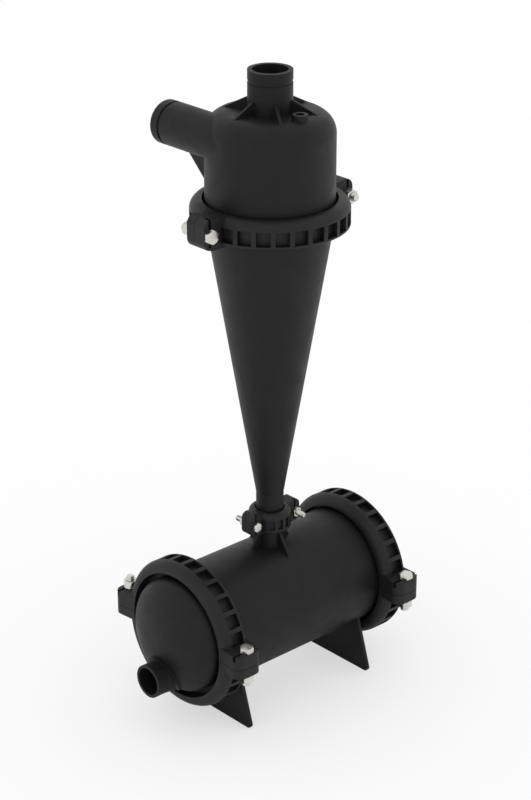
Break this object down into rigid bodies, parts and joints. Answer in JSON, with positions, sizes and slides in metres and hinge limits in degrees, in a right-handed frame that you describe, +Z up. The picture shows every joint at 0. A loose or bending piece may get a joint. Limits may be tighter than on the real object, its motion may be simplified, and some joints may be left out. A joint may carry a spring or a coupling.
{
  "type": "hydrocyclone",
  "caption": "Upright hydrocyclone sand separator: head with tangential inlet and top outlet, long cone, and a domed collecting tank on two feet, joined by bolted clamps.",
  "frame": {"origin": "on the floor under the middle of the outline, with the cyclone axis 9.0 mm towards +X and 3.9 mm towards -Y of it", "axes": "+Z up along the cyclone axis to the outlet, X along the collecting tank with the drain towards -X, and +Y out of the inlet spigot"},
  "size_m": [0.438, 0.2742, 0.9105],
  "materials": {
    "moulded_plastic": "fine satin moulded surface",
    "seal_rubber": "smooth",
    "stainless_steel": "bright"
  },
  "bodies": {
    "root": {"head": "moulded_plastic", "vortex_finder": "moulded_plastic", "cone": "moulded_plastic", "tank": "moulded_plastic", "front_cover": "moulded_plastic", "rear_cover": "moulded_plastic", "head_clamp_front": "moulded_plastic", "head_clamp_rear": "moulded_plastic", "front_cover_clamp_upper": "moulded_plastic", "front_cover_clamp_lower": "moulded_plastic", "rear_cover_clamp_upper": "moulded_plastic", "rear_cover_clamp_lower": "moulded_plastic", "apex_clamp_front": "moulded_plastic", "apex_clamp_rear": "moulded_plastic", "head_seal": "seal_rubber", "apex_seal": "seal_rubber", "front_cover_seal": "seal_rubber", "rear_cover_seal": "seal_rubber", "clamp_bolts": "stainless_steel", "clamp_nuts": "stainless_steel", "apex_clamp_bolts": "stainless_steel", "apex_clamp_nuts": "stainless_steel"}
  },
  "joints": []
}
